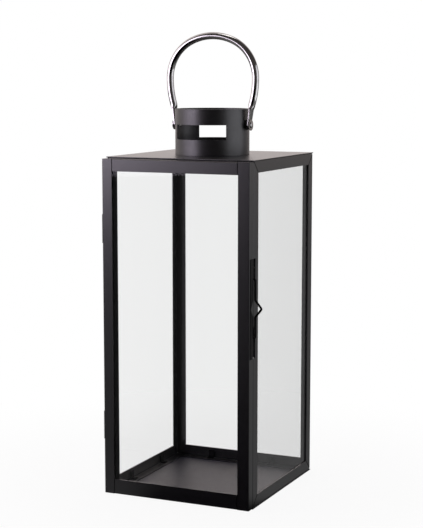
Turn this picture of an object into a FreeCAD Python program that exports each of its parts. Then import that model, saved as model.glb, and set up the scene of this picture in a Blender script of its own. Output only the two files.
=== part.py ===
# Square candle lantern: an angle-steel body with glass sides, a hinged glass door with a wire
# latch, a slotted vent collar on the roof and a swinging bail handle. Millimetres, +Z up.
# The origin is the middle of the base plate's underside, and the door faces -Y.
import FreeCAD, Part
import math
import os
import re
import Sketcher

Vector = FreeCAD.Vector
AXES = {
    "+X": (1, 0, 0), "-X": (-1, 0, 0),
    "+Y": (0, 1, 0), "-Y": (0, -1, 0),
    "+Z": (0, 0, 1), "-Z": (0, 0, -1),
}

# Driving dimensions. Each one is a cell of the sheet, and can be changed by itself.
driving = {
    # body frame
    "frame_width": 199,
    "frame_depth": 199,
    "frame_height": 426,
    "sheet": 1.2,
    "flange": 14.4,
    "plate": 1.2,
    "plate_overhang": 0.5,
    # glass and its clips
    "glass": 2,
    "glass_overlap": 6,
    "glass_gap": 0.2,
    "clip_sheet": 0.8,
    "clip_width": 8,
    "clip_height": 10,
    "clip_foot": 7,
    "clip_spacing": 88,
    # door
    "door_depth": 12,
    "door_gap": 0.8,
    "door_lift": 1,
    "door_drop": 2,
    "hinge_stile": 13.4,
    "latch_stile": 15.2,
    "door_top_rail": 15.3,
    "door_bottom_rail": 19,
    # hinges
    "hinge_length": 36,
    "hinge_inset": 70,
    "hinge_leaf": 9.5,
    "hinge_sheet": 0.8,
    "hinge_barrel": 4,
    "hinge_pin": 2,
    "hinge_gap": 0.3,
    "running_clearance": 0.05,
    # latch
    "latch_height": 249.4,
    "latch_wire": 2.4,
    "latch_inset": 1.9,
    "latch_run": 72,
    "latch_bump": 20.8,
    "latch_reach": 9.4,
    "latch_tail": 8.5,
    "latch_bend": 2.2,
    "latch_travel": 12,
    "latch_clearance": 0.3,
    "notch_length": 25,
    "notch_depth": 6,
    "keeper_sheet": 0.8,
    "keeper_width": 8,
    "keeper_margin": 2.3,
    "keeper_notch": 6.4,
    "keeper_ear": 1.5,
    # vent collar
    "collar": 94.8,
    "collar_height": 57.1,
    "collar_wall": 1.2,
    "cap": 1.2,
    "cap_edge": 0.8,
    "vent": 80,
    "slot_angle": 94,
    "slot_height": 18.5,
    "slot_bottom": 20,
    # bail handle and its rivets
    "pivot_height": 38,
    "bar_diameter": 9,
    "bail_width": 119,
    "bail_rise": 53.6,
    "bail_shoulder": 58.4,
    "bail_side_radius": 52,
    "tab_thickness": 3.2,
    "tab_width": 12,
    "tab_length": 18,
    "tab_fold": 7,
    "tab_lean": 7.5,
    "tab_gap": 0.3,
    "rivet": 4,
    "rivet_head": 7.5,
    "rivet_crown": 1.6,
    "washer": 12.6,
    "washer_thickness": 1,
    "washer_gap": 0.1,
}

# Places worked out from the driving dimensions.
derived = {
    "half_width": "frame_width / 2",
    "half_depth": "frame_depth / 2",
    "frame_top": "plate + frame_height",
    "roof_top": "frame_top + plate",
    "glass_near": "sheet + glass_gap",
    "glass_far": "glass_near + glass",
    "clip_near": "glass_far + glass_gap",
    "pane_low": "plate + sheet + glass_gap",
    "pane_height": "frame_height - 2 * sheet - 2 * glass_gap",
    "door_width": "frame_width",
    "door_front": "-half_depth - door_gap - door_depth",
    "door_height": "roof_top - door_drop - door_lift",
    "door_top": "door_lift + door_height",
    "hinge_x": "-door_width / 2 - hinge_barrel / 2 - hinge_sheet / 4",
    "hinge_y": "-half_depth - door_gap / 2",
    "latch_y": "-half_depth + latch_inset",
    "cap_top": "roof_top + collar_height + cap",
    "pivot_z": "roof_top + pivot_height",
    "washer_face": "collar / 2 + washer_gap",
    "tab_face": "washer_face + washer_thickness + tab_gap + tab_width / 2 * sin(tab_lean * 1 deg)",
    "tab_back": "tab_face + tab_thickness / cos(tab_lean * 1 deg)",
    "head_face": "tab_back + rivet_head / 2 * sin(tab_lean * 1 deg) + tab_gap",
}

doc = FreeCAD.newDocument("CandleLantern")
sizes = doc.addObject("Spreadsheet::Sheet", "Sizes")
for row, (alias, number) in enumerate(driving.items(), start=1):
    sizes.set(f"A{row}", alias)
    sizes.set(f"B{row}", str(number))
    sizes.setAlias(f"B{row}", alias)
doc.recompute()

subparts = []


def size(alias):
    return float(sizes.get(alias))


def formula(text):
    # Writes named sizes as cells of the sheet, and named places as what they are worked out from.
    def expand(match):
        word = match.group(0)
        if word in driving:
            return "Sizes." + word
        if word in derived:
            return "(" + formula(derived[word]) + ")"
        return word
    return re.sub(r"[a-z][a-z_]*", expand, text)


def bind(thing, **properties):
    for name, text in properties.items():
        thing.setExpression(name, formula(text))


def place(thing, x="0", y="0", z="0", rotation=None):
    if rotation:
        thing.Placement = FreeCAD.Placement(Vector(), rotation)
    for axis, text in zip("xyz", (x, y, z)):
        thing.setExpression("Placement.Base." + axis, formula(text))


def turned(degrees):
    return FreeCAD.Rotation(Vector(0, 0, 1), degrees)


def keep(thing, label):
    thing.Label = label
    subparts.append(thing)
    return thing


# Building blocks

def new_body(label):
    body = doc.addObject("PartDesign::Body", label)
    body.AllowCompound = True
    return keep(body, label)


def sketch_on(body, role, name, lift="0"):
    plane = next(f for f in body.Origin.OriginFeatures if f.Role == role)
    sketch = body.newObject("Sketcher::SketchObject", name)
    sketch.AttachmentSupport = [(plane, "")]
    sketch.MapMode = "FlatFace"
    sketch.setExpression("AttachmentOffset.Base.z", formula(lift))
    return sketch


def fix_point(sketch, index, end, across, up):
    for kind, text in (("DistanceX", across), ("DistanceY", up)):
        number = sketch.addConstraint(Sketcher.Constraint(kind, -1, 1, index, end, 1.0))
        sketch.setExpression(f"Constraints[{number}]", formula(text))


def draw_outline(sketch, corners):
    # A closed outline, with each corner's place bound to the sheet. The first draft is a round of
    # points, which the bound constraints then pull into place.
    count = len(corners)
    turns = [2 * math.pi * i / count for i in range(count)]
    draft = [Vector(math.cos(turn), math.sin(turn), 0) for turn in turns]
    first = sketch.GeometryCount
    for i in range(count):
        sketch.addGeometry(Part.LineSegment(draft[i], draft[(i + 1) % count]), False)
    for i in range(count):
        following = first + (i + 1) % count
        sketch.addConstraint(Sketcher.Constraint("Coincident", first + i, 2, following, 1))
    for i, (across, up) in enumerate(corners):
        fix_point(sketch, first + i, 1, across, up)


def draw_circle(sketch, across, up, diameter):
    index = sketch.addGeometry(Part.Circle(Vector(), Vector(0, 0, 1), 1), False)
    fix_point(sketch, index, 3, across, up)
    number = sketch.addConstraint(Sketcher.Constraint("Diameter", index, 1.0))
    sketch.setExpression(f"Constraints[{number}]", formula(diameter))


def pad(body, sketch, length, reverse=False, middle=False):
    feature = body.newObject("PartDesign::Pad", sketch.Name + "Pad")
    feature.Profile = sketch
    feature.Reversed = reverse
    feature.SideType = "Symmetric" if middle else "One side"
    bind(feature, Length=length)
    doc.recompute()
    return feature


def pocket(body, sketch, length, reverse=False, middle=False):
    before = body.Shape.Volume
    feature = body.newObject("PartDesign::Pocket", sketch.Name + "Pocket")
    feature.Profile = sketch
    feature.Reversed = reverse
    feature.SideType = "Symmetric" if middle else "One side"
    bind(feature, Length=length)
    doc.recompute()
    if body.Shape.Volume > 0.9999 * before:
        raise RuntimeError(sketch.Name + " cuts nothing")
    return feature


def box(name, x, y, z):
    # A box from its low and high places along each axis.
    thing = doc.addObject("Part::Box", name)
    for property_name, (low, high) in (("Length", x), ("Width", y), ("Height", z)):
        thing.setExpression(property_name, formula(f"({high}) - ({low})"))
    place(thing, x[0], y[0], z[0])
    return thing


def rod(name, diameter, length, x="0", y="0", z="0", along="+Z"):
    thing = doc.addObject("Part::Cylinder", name)
    bind(thing, Radius=f"({diameter}) / 2", Height=length)
    place(thing, x, y, z, FreeCAD.Rotation(Vector(0, 0, 1), Vector(*AXES[along])))
    return thing


def fuse(name, things):
    joined = doc.addObject("Part::MultiFuse", name)
    joined.Shapes = things
    joined.Refine = True
    return joined


def cut(name, base, tool):
    result = doc.addObject("Part::Cut", name)
    result.Base = base
    result.Tool = tool
    return result


# Body frame: twelve lengths of angle, mitred where they meet

def frame_member(label, along, inward, corner, length, corner_block):
    # Local Z runs along the outer edge, and the flanges lie along local X and Y. A post keeps the
    # small block at each corner of the frame, and a rail stops one sheet short of it.
    first, second = (Vector(*AXES[name]) for name in inward)
    run = Vector(*AXES[along])
    if first.cross(second).dot(run) < 0:
        first, second = second, first
    body = new_body(label)
    far = f"{length} - sheet"
    mitre = [("sheet", "sheet"), ("flange", "flange"), ("flange", f"{length} - flange"), ("sheet", far)]
    ends = [("0", far), ("0", "sheet")]
    if corner_block:
        ends = [("sheet", length), ("0", length), ("0", "0"), ("sheet", "0")]
    edge_flange = sketch_on(body, "YZ_Plane", label + "_edge")
    draw_outline(edge_flange, mitre + ends)
    pad(body, edge_flange, "sheet")
    plain_flange = sketch_on(body, "XZ_Plane", label + "_plain")
    draw_outline(plain_flange, mitre)
    pad(body, plain_flange, "sheet", reverse=True)
    place(body, *corner, rotation=FreeCAD.Rotation(first, second, run, "ZXY"))
    return body


def cut_latch_notches(post):
    # The post's local Z starts at the top of the base plate. The upper notch starts where the wire
    # turns in, and the lower one leaves room above the wire for its travel.
    middle = "latch_height - plate"
    spans = [
        (f"{middle} + latch_run / 2 - latch_wire / 2 - latch_clearance",
         f"{middle} + latch_run / 2 + notch_length"),
        (f"{middle} - latch_run / 2 - notch_length",
         f"{middle} - latch_run / 2 + latch_wire / 2 + latch_clearance + latch_travel"),
    ]
    sketch = sketch_on(post, "XZ_Plane", "latch_notches")
    for low, high in spans:
        draw_outline(sketch, [("0", low), ("notch_depth", low), ("notch_depth", high), ("0", high)])
    pocket(post, sketch, "notch_depth + sheet")


def build_frame():
    left, right, front, rear = "-half_width", "half_width", "-half_depth", "half_depth"
    posts = {
        "front_left_post": (("+X", "+Y"), (left, front, "plate")),
        "front_right_post": (("-X", "+Y"), (right, front, "plate")),
        "rear_left_post": (("+X", "-Y"), (left, rear, "plate")),
        "rear_right_post": (("-X", "-Y"), (right, rear, "plate")),
    }
    for label, (inward, corner) in posts.items():
        post = frame_member(label, "+Z", inward, corner, "frame_height", True)
        if label == "front_right_post":
            cut_latch_notches(post)
    for level, up, z in (("bottom", "+Z", "plate"), ("top", "-Z", "frame_top")):
        frame_member(f"front_{level}_rail", "+X", ("+Y", up), (left, front, z), "frame_width", False)
        frame_member(f"rear_{level}_rail", "+X", ("-Y", up), (left, rear, z), "frame_width", False)
        frame_member(f"left_{level}_rail", "+Y", ("+X", up), (left, front, z), "frame_depth", False)
        frame_member(f"right_{level}_rail", "+Y", ("-X", up), (right, front, z), "frame_depth", False)


def build_plates():
    across = ("-half_width - plate_overhang", "half_width + plate_overhang")
    deep = ("-half_depth - plate_overhang", "half_depth + plate_overhang")
    keep(box("BasePlate", across, deep, ("0", "plate")), "base_plate")
    blank = box("RoofBlank", across, deep, ("frame_top", "roof_top"))
    opening = rod("RoofVent", "vent", "3 * plate", z="frame_top - plate")
    keep(cut("RoofPlate", blank, opening), "roof_plate")


# Glass sides and clips. A side's own frame has X along the wall and Y inwards from its outer face.

def glass_clips(label, seat_low, seat_high):
    body = new_body(label)
    sketch = sketch_on(body, "YZ_Plane", label + "_outline", "clip_spacing / 2")
    for seat, up in ((seat_low, "+"), (seat_high, "-")):
        lip = f"{seat} {up} clip_sheet"
        tip = f"{seat} {up} clip_height"
        draw_outline(sketch, [
            ("clip_near", seat), ("clip_near + clip_foot", seat), ("clip_near + clip_foot", lip),
            ("clip_near + clip_sheet", lip), ("clip_near + clip_sheet", tip), ("clip_near", tip),
        ])
    pair = pad(body, sketch, "clip_width", middle=True)
    mirror = body.newObject("PartDesign::Mirrored", label + "_mirror")
    mirror.Originals = [pair]
    plane = next(f for f in body.Origin.OriginFeatures if f.Role == "YZ_Plane")
    mirror.MirrorPlane = (plane, [""])
    body.Tip = mirror
    return body


def build_sides():
    walls = {
        "right": ("half_width", "0", 90, "frame_depth"),
        "rear": ("0", "half_depth", 180, "frame_width"),
        "left": ("-half_width", "0", -90, "frame_depth"),
    }
    for name, (x, y, turn, wide) in walls.items():
        pane = doc.addObject("Part::Extrusion", name.title() + "Pane")
        outline = doc.addObject("Sketcher::SketchObject", name.title() + "PaneOutline")
        reach = f"({wide}) / 2 - flange + glass_overlap"
        low, high = "pane_low", "pane_low + pane_height"
        outline.Placement = FreeCAD.Placement(Vector(), FreeCAD.Rotation(Vector(1, 0, 0), 90))
        draw_outline(outline, [(f"-({reach})", low), (reach, low), (reach, high), (f"-({reach})", high)])
        pane.Base = outline
        pane.DirMode = "Custom"
        pane.Dir = Vector(0, 1, 0)
        pane.Solid = True
        bind(pane, LengthFwd="glass")
        shift = {90: ("-glass_near", "0"), 180: ("0", "-glass_near"), -90: ("glass_near", "0")}[turn]
        place(pane, f"{x} + ({shift[0]})", f"{y} + ({shift[1]})", rotation=turned(turn))
        keep(pane, name + "_glass")
        clips = glass_clips(name + "_glass_clips", "plate + sheet", "frame_top - sheet")
        place(clips, x, y, rotation=turned(turn))


# Door: full-height stiles with the rails between them, all of angle with the webs outside

def build_door():
    half = "door_width / 2"
    for side, sign, stile in (("left", "-1", "hinge_stile"), ("right", "1", "latch_stile")):
        body = new_body(f"door_{side}_stile")
        sketch = sketch_on(body, "XY_Plane", f"door_{side}_outline")
        outer, web, inner = (f"{sign} * ({half} - {step})" for step in ("0", "sheet", stile))
        draw_outline(sketch, [
            (outer, "0"), (inner, "0"), (inner, "sheet"),
            (web, "sheet"), (web, "door_depth"), (outer, "door_depth"),
        ])
        pad(body, sketch, "door_height")
        place(body, "0", "door_front", "door_lift")
    rails = {
        "bottom": (("door_lift", "door_lift + door_bottom_rail"), ("door_lift", "door_lift + sheet")),
        "top": (("door_top - door_top_rail", "door_top"), ("door_top - sheet", "door_top")),
    }
    for name, (face, web) in rails.items():
        front = box(f"Door{name}Face", (f"hinge_stile - {half}", f"{half} - latch_stile"),
                    ("door_front", "door_front + sheet"), face)
        back = box(f"Door{name}Web", (f"sheet - {half}", f"{half} - sheet"),
                   ("door_front + sheet", "door_front + door_depth"), web)
        keep(fuse(f"Door{name}Rail", [front, back]), f"door_{name}_rail")
    edge = "(sheet + glass_gap)"
    keep(box("DoorPane", (f"{edge} - {half}", f"{half} - {edge}"),
             ("door_front + glass_near", "door_front + glass_far"),
             (f"door_lift + {edge}", f"door_top - {edge}")), "door_glass")
    clips = glass_clips("door_glass_clips", "door_lift + sheet", "door_top - sheet")
    place(clips, "0", "door_front", "0")


# Hinges: the body leaf has the outer knuckles and holds the pin, the door leaf has the middle one

def hinge_leaf(label, low, knuckles, sign):
    # The leaf lies on the outside of the left edge, away from the barrel on the side of its sign.
    face = ("-door_width / 2 - hinge_sheet", "-door_width / 2")
    near = f"hinge_y {sign} (hinge_barrel / 2 + hinge_gap)"
    far = f"hinge_y {sign} (hinge_barrel / 2 + hinge_leaf)"
    span = (far, near) if sign == "-" else (near, far)
    tongue = (near, "hinge_y") if sign == "-" else ("hinge_y", near)
    things = [box(label + "_plate", face, span, (low, f"{low} + hinge_length"))]
    for index, (start, end) in enumerate(knuckles):
        things.append(box(f"{label}_tongue{index}", face, tongue, (start, end)))
        tall = f"({end}) - ({start})"
        things.append(rod(f"{label}_knuckle{index}", "hinge_barrel", tall, "hinge_x", "hinge_y", start))
    bore = rod(label + "_bore", "hinge_pin + 2 * running_clearance", "hinge_length * 2",
               "hinge_x", "hinge_y", f"{low} - hinge_length / 2")
    keep(cut(label + "_cut", fuse(label + "_fuse", things), bore), label)


def build_hinges():
    for name, low in (("lower", "plate + hinge_inset"), ("upper", "frame_top - hinge_inset - hinge_length")):
        third = f"({low}) + hinge_length / 3"
        two_thirds = f"({low}) + 2 * hinge_length / 3"
        outer = [(low, third), (two_thirds, f"({low}) + hinge_length")]
        middle = [(f"{third} + hinge_gap", f"{two_thirds} - hinge_gap")]
        hinge_leaf(f"{name}_hinge_body_leaf", low, outer, "+")
        hinge_leaf(f"{name}_hinge_door_leaf", low, middle, "-")
        pin = rod(name.title() + "HingePin", "hinge_pin", "hinge_length", "hinge_x", "hinge_y", low)
        keep(pin, name + "_hinge_pin")


# Latch: a wire with a V-shaped thumb bump slides in the post's notches, and its upper end rises
# into the eye of a keeper on the door

def bent_path(corners, radius):
    # Straight runs between the corners, joined by tangent arcs.
    edges = []
    start = corners[0]
    for before, corner, after in zip(corners, corners[1:], corners[2:]):
        back = (before - corner).normalize()
        ahead = (after - corner).normalize()
        half_turn = back.getAngle(ahead) / 2
        setback = radius / math.tan(half_turn)
        middle = corner + (back + ahead).normalize() * (radius / math.sin(half_turn) - radius)
        edges.append(Part.LineSegment(start, corner + back * setback).toShape())
        edges.append(Part.Arc(corner + back * setback, middle, corner + ahead * setback).toShape())
        start = corner + ahead * setback
    edges.append(Part.LineSegment(start, corners[-1]).toShape())
    return Part.Wire(edges)


def round_bar(path, diameter):
    first = path.Edges[0]
    start = first.valueAt(first.FirstParameter)
    along = first.tangentAt(first.FirstParameter)
    ring = Part.Wire([Part.makeCircle(diameter / 2, start, along)])
    return path.makePipeShell([ring], True, False)


def build_latch_wire():
    # Drawn beside the post's outer face at X = 0, with the bump's apex at Z = 0.
    wire = size("latch_wire")
    outside = size("latch_clearance") + wire / 2
    inside = -size("sheet") - size("latch_clearance") - wire / 2
    turn = size("latch_run") / 2
    bump = size("latch_bump") / 2
    tail = size("latch_tail")
    half_route = [(inside, turn + tail), (inside, turn), (outside, turn), (outside, bump)]
    apex = [(size("latch_reach"), 0)]
    mirrored = [(x, -z) for x, z in reversed(half_route)]
    corners = [Vector(x, 0, z) for x, z in half_route + apex + mirrored]
    feature = doc.addObject("Part::Feature", "LatchWire")
    feature.Shape = round_bar(bent_path(corners, size("latch_bend")), wire)
    place(feature, "half_width", "latch_y", "latch_height")
    keep(feature, "latch_wire")


def build_latch_keeper():
    half = "door_width / 2"
    skin = (half, f"{half} + keeper_sheet")
    rear = "-half_depth - door_gap - keeper_margin"
    front = f"{rear} - keeper_width"
    reach = "(latch_run / 2 + notch_length)"
    strip = box("KeeperStrip", skin, (front, rear), (f"latch_height - {reach}", f"latch_height + {reach}"))
    thumb = doc.addObject("Part::Wedge", "KeeperThumbNotch")
    bind(thumb, Xmin="0", Xmax="2 * keeper_sheet", X2min="0", X2max="2 * keeper_sheet")
    bind(thumb, Ymin="0", Ymax="keeper_notch")
    bind(thumb, Zmin="0", Zmax="latch_bump", Z2min="0.49 * latch_bump", Z2max="0.51 * latch_bump")
    place(thumb, f"{half} + 1.5 * keeper_sheet", rear, "latch_height - latch_bump / 2", turned(180))
    notched = cut("KeeperNotched", strip, thumb)
    eye_x = "half_width - sheet - latch_clearance - latch_wire / 2"
    ear_low = "latch_height + latch_run / 2 + latch_wire / 2 + latch_travel + latch_clearance"
    ear_high = f"{ear_low} + keeper_ear"
    ear_rear = "latch_y + latch_wire / 2 + latch_clearance + keeper_ear"
    bridge = box("KeeperBridge", skin, (rear, ear_rear), (ear_low, ear_high))
    ear = box("KeeperEar", (f"{eye_x} - latch_wire / 2 - latch_clearance - keeper_ear", skin[1]),
              ("-half_depth - door_gap / 2", ear_rear), (ear_low, ear_high))
    eye = rod("KeeperEye", "latch_wire + 2 * latch_clearance", "3 * keeper_ear",
              eye_x, "latch_y", f"{ear_low} - keeper_ear")
    keep(cut("LatchKeeper", fuse("KeeperFuse", [notched, bridge, ear]), eye), "latch_keeper")


# Vent collar with its cap

def build_collar():
    body = new_body("vent_collar")
    ring = sketch_on(body, "XY_Plane", "collar_ring")
    draw_circle(ring, "0", "0", "collar")
    draw_circle(ring, "0", "0", "collar - 2 * collar_wall")
    pad(body, ring, "collar_height")
    slots = sketch_on(body, "XY_Plane", "collar_slots", "slot_bottom")
    flare = "collar * tan(slot_angle / 2 * 1 deg)"
    for sign in ("-", ""):
        tip = f"{sign}collar_wall"
        wide = f"{sign}collar"
        narrow = "collar_wall * tan(slot_angle / 2 * 1 deg)"
        draw_outline(slots, [(f"-{narrow}", tip), (narrow, tip), (flare, wide), (f"-{flare}", wide)])
    pocket(body, slots, "slot_height", reverse=True)
    holes = sketch_on(body, "YZ_Plane", "collar_pivots")
    draw_circle(holes, "0", "pivot_height", "rivet + 2 * running_clearance")
    pocket(body, holes, "2 * collar", middle=True)
    place(body, "0", "0", "roof_top")

    lid = new_body("collar_cap")
    disc = sketch_on(lid, "XY_Plane", "cap_disc")
    draw_circle(disc, "0", "0", "collar")
    blank = pad(lid, disc, "cap")
    heights = [edge.CenterOfMass.z for edge in blank.Shape.Edges]
    rim = heights.index(max(heights)) + 1
    rounding = lid.newObject("PartDesign::Fillet", "cap_rounding")
    rounding.Base = (blank, [f"Edge{rim}"])
    bind(rounding, Radius="cap_edge")
    doc.recompute()
    place(lid, "0", "0", "roof_top + collar_height")


# Bail handle: a round bar bent to a wide arch, with flattened ends on the rivets

def tab_place():
    # The near face of the flattened end on the pivot line, measured from the middle plane.
    washer_far = size("collar") / 2 + size("washer_gap") + size("washer_thickness")
    return washer_far + size("tab_gap") + size("tab_width") / 2 * math.sin(math.radians(size("tab_lean")))


def bail_foot():
    # Where the bar's round section starts, straight on from the leaning flattened end.
    lean = math.radians(size("tab_lean"))
    height = size("tab_length") + size("tab_fold")
    middle = tab_place() + size("tab_thickness") / 2 / math.cos(lean)
    return Vector(middle + height * math.tan(lean), 0, height)


def bail_path():
    # Drawn from the pivot line at Z = 0. The widest points are at the shoulder height. Above them
    # two side arcs meet a flatter top arc, and below them each leg draws in to its flattened end.
    half = size("bail_width") / 2
    shoulder = size("bail_shoulder")
    rise = size("bail_rise")
    side = size("bail_side_radius")
    foot = bail_foot()
    offset = half - side
    drop = (offset ** 2 - (rise - side) ** 2) / (2 * (rise - side))
    crown = rise + drop
    lean = math.atan2(drop, offset)
    join = Vector(crown * math.cos(lean), 0, shoulder - drop + crown * math.sin(lean))
    bow = Vector(offset + side * math.cos(lean / 2), 0, shoulder + side * math.sin(lean / 2))
    fall = shoulder - foot.z
    draw_in = half - foot.x
    leg = (fall ** 2 + draw_in ** 2) / (2 * draw_in)
    turn = math.asin(fall / leg) / 2
    knee = Vector(half - leg * (1 - math.cos(turn)), 0, shoulder - leg * math.sin(turn))
    widest = Vector(half, 0, shoulder)
    top = Vector(0, 0, shoulder + rise)

    def other(point):
        return Vector(-point.x, 0, point.z)
    arcs = [
        (foot, knee, widest), (widest, bow, join), (join, top, other(join)),
        (other(join), other(bow), other(widest)), (other(widest), other(knee), other(foot)),
    ]
    return Part.Wire([Part.Arc(*points).toShape() for points in arcs])


def flattened_end():
    # A flat eye on the rivet leans outwards, then swells to the bar's full round at the foot.
    thick, wide, length = size("tab_thickness"), size("tab_width"), size("tab_length")
    near = Vector(tab_place(), 0, 0)
    across = Vector(1, 0, 0)
    plate = Part.makeBox(thick, wide, length, near - Vector(0, wide / 2, 0))
    round_end = Part.makeCylinder(wide / 2, thick, near, across)
    tab = plate.fuse(round_end)
    seat = near + Vector(thick / 2, 0, length)
    flat = Part.Ellipse(seat, wide / 2, thick / 2).toShape()
    flat.rotate(seat, Vector(0, 0, 1), 90)
    for piece in (tab, flat):
        piece.rotate(near, Vector(0, 1, 0), size("tab_lean"))
    leg = bail_path().Edges[0]
    full = Part.makeCircle(size("bar_diameter") / 2, bail_foot(), leg.tangentAt(leg.FirstParameter))
    swell = Part.makeLoft([Part.Wire([flat]), Part.Wire([full])], True, False)
    reach = 3 * thick
    bore = size("rivet") / 2 + size("running_clearance")
    hole = Part.makeCylinder(bore, 2 * reach, near - across * reach, across)
    return tab.fuse(swell).cut(hole)


def build_bail():
    right = flattened_end()
    left = right.mirror(Vector(), Vector(1, 0, 0))
    arch = round_bar(bail_path(), size("bar_diameter"))
    feature = doc.addObject("Part::Feature", "BailHandle")
    feature.Shape = arch.fuse([right, left]).removeSplitter()
    place(feature, "0", "0", "pivot_z")
    keep(feature, "bail_handle")


def build_pivots():
    for side, turn in (("right", 0), ("left", 180)):
        body = new_body(f"{side}_handle_rivet")
        profile = sketch_on(body, "XZ_Plane", side + "_rivet_profile")
        inner = "collar / 2 - collar_wall - tab_gap"
        outer = "head_face"
        shank, head, crest = "rivet / 2", "rivet_head / 2", "0.35 * rivet_head"
        draw_outline(profile, [
            (f"{inner} - rivet_crown", "0"), (f"{inner} - rivet_crown", crest),
            (f"{inner} - 0.4 * rivet_crown", head), (inner, head),
            (inner, shank), (outer, shank),
            (outer, head), (f"{outer} + 0.4 * rivet_crown", head),
            (f"{outer} + rivet_crown", crest), (f"{outer} + rivet_crown", "0"),
        ])
        spin = body.newObject("PartDesign::Revolution", side + "_rivet_spin")
        spin.Profile = profile
        spin.ReferenceAxis = (profile, ["H_Axis"])
        spin.Angle = 360
        doc.recompute()
        place(body, "0", "0", "pivot_z", turned(turn))
        toward = {"right": "+X", "left": "-X"}[side]
        start = {"right": "washer_face", "left": "-(washer_face)"}[side]
        disc = rod(side.title() + "WasherDisc", "washer", "washer_thickness", start, "0", "pivot_z", toward)
        hole = rod(side.title() + "WasherHole", "rivet + 2 * running_clearance", "2 * collar",
                   "-collar", "0", "pivot_z", "+X")
        keep(cut(side.title() + "Washer", disc, hole), f"{side}_handle_washer")


build_frame()
build_plates()
build_sides()
build_door()
build_hinges()
build_latch_wire()
build_latch_keeper()
build_collar()
build_bail()
build_pivots()
doc.recompute()

for thing in doc.Objects:
    if "Invalid" in thing.State or "Error" in thing.State:
        raise RuntimeError(f"{thing.Label} failed: {thing.State}")
for thing in subparts:
    if thing.Shape.isNull() or not thing.Shape.isValid() or not thing.Shape.Solids:
        raise RuntimeError(f"{thing.Label} has no valid solid")

os.makedirs("parts", exist_ok=True)
for thing in subparts:
    thing.Shape.exportStep(f"parts/{thing.Label}.step")
    box_of = thing.Shape.BoundBox
    print(thing.Label, len(thing.Shape.Solids), "solids,", round(thing.Shape.Volume), "mm3,", box_of)
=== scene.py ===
import math

import bpy
from mathutils import Matrix, Vector


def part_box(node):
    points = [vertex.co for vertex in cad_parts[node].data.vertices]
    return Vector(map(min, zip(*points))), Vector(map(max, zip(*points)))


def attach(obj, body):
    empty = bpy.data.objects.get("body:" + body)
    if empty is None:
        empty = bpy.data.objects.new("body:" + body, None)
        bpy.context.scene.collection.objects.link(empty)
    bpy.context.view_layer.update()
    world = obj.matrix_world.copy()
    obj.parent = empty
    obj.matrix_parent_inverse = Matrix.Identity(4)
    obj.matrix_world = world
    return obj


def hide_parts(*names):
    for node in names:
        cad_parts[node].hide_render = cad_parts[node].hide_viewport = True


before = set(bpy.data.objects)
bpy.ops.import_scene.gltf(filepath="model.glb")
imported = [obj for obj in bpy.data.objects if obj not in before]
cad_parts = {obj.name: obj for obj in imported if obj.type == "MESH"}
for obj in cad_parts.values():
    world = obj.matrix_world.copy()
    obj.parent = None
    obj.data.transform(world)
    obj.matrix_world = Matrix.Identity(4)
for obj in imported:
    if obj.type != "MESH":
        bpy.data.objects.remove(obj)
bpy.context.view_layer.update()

xAxis, yAxis, zAxis = Vector((1, 0, 0)), Vector((0, 1, 0)), Vector((0, 0, 1))
within = {"merge": 0.000001, "sliver": 0.000002, "same": 0.00001, "close": 0.0001, "ring": 0.0002}  # metres
facing = {"mitred": 0.4, "flat": 0.9, "level": 0.99}  # least share of a normal along the axis asked for


# small tools used by all the pieces

def clearSelection():
    if bpy.context.object and bpy.context.object.mode != "OBJECT":
        bpy.ops.object.mode_set(mode="OBJECT")
    bpy.ops.object.select_all(action="DESELECT")


def begin(name):
    # call right after adding a primitive
    piece = bpy.context.object
    piece.name = name
    piece.data.name = name
    bpy.ops.object.transform_apply(location=True, rotation=True, scale=True)
    return piece


def pick(piece, kind, test):
    # leaves edit mode on, with only the matching parts selected
    if piece.mode != "OBJECT":
        bpy.ops.object.mode_set(mode="OBJECT")
    mesh = piece.data
    for group in (mesh.vertices, mesh.edges, mesh.polygons):
        for item in group:
            item.select = False
    if kind == "VERT":
        for vert in mesh.vertices:
            vert.select = test(vert.co)
    if kind == "EDGE":
        for edge in mesh.edges:
            first, second = (mesh.vertices[i].co for i in edge.vertices)
            edge.select = test(first) and test(second)
    if kind == "FACE":
        for face in mesh.polygons:
            face.select = test(face.center, face.normal)
    bpy.context.tool_settings.mesh_select_mode = (kind == "VERT", kind == "EDGE", kind == "FACE")
    bpy.ops.object.mode_set(mode="EDIT")


def pickAll(piece):
    if piece.mode != "EDIT":
        bpy.ops.object.mode_set(mode="EDIT")
    bpy.ops.mesh.select_all(action="SELECT")


def cutThrough(piece, place, normal, drop=False):
    # bisect right through, and drop what lies behind the plane if asked
    pickAll(piece)
    bpy.ops.mesh.bisect(plane_co=place, plane_no=normal, clear_inner=drop)


def applyModifier(piece, kind, **settings):
    if piece.mode != "OBJECT":
        bpy.ops.object.mode_set(mode="OBJECT")
    bpy.context.view_layer.objects.active = piece
    modifier = piece.modifiers.new(kind.title(), kind)
    for key, value in settings.items():
        setattr(modifier, key, value)
    bpy.ops.object.modifier_apply(modifier=modifier.name)


def breakEdges(piece, width, segments=2, angle=40):
    # the small rounding that every sheared or cut edge has under its finish
    applyModifier(piece, "BEVEL", width=width, segments=segments, limit_method="ANGLE",
                  angle_limit=math.radians(angle), use_clamp_overlap=True, harden_normals=False)
    pickAll(piece)
    bpy.ops.mesh.remove_doubles(threshold=within["sliver"])
    bpy.ops.object.mode_set(mode="OBJECT")


def faceOutwards(piece):
    pickAll(piece)
    bpy.ops.mesh.normals_make_consistent(inside=False)
    bpy.ops.object.mode_set(mode="OBJECT")


def closeUp(piece):
    # merge, cap open ends and turn the faces outwards
    pickAll(piece)
    bpy.ops.mesh.remove_doubles(threshold=within["merge"])
    bpy.ops.mesh.select_all(action="SELECT")
    bpy.ops.mesh.fill_holes(sides=0)
    faceOutwards(piece)


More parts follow.
